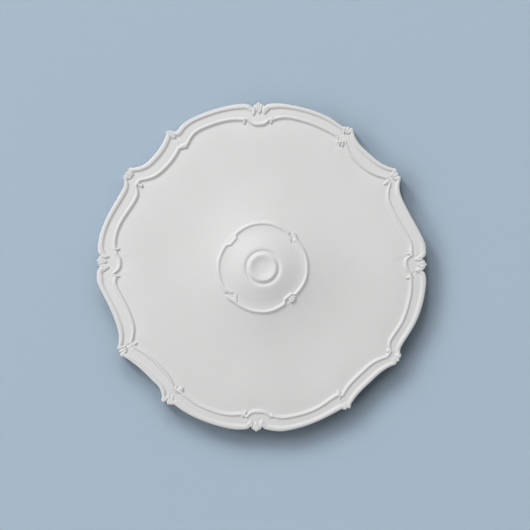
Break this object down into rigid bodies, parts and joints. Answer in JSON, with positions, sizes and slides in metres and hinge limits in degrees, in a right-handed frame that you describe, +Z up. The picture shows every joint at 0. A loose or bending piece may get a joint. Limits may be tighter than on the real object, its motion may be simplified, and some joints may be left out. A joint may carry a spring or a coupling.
{
  "type": "ceiling rose",
  "caption": "Moulded ceiling rose with a flat back, a scalloped scroll-moulded rim with small leaves at its corners, a plain field and a lobed boss round a small cup.",
  "frame": {"origin": "centre of the flat back, which lies against the ceiling", "axes": "+Z up into the ceiling, the moulded face looks down along -Z; +Y is the picture's top edge and -X its right-hand side"},
  "size_m": [0.6593, 0.6592, 0.0478],
  "materials": {
    "white_primer": "matt white primer on smooth moulded foam"
  },
  "bodies": {
    "root": {"ceiling_rose": "white_primer"}
  },
  "joints": []
}
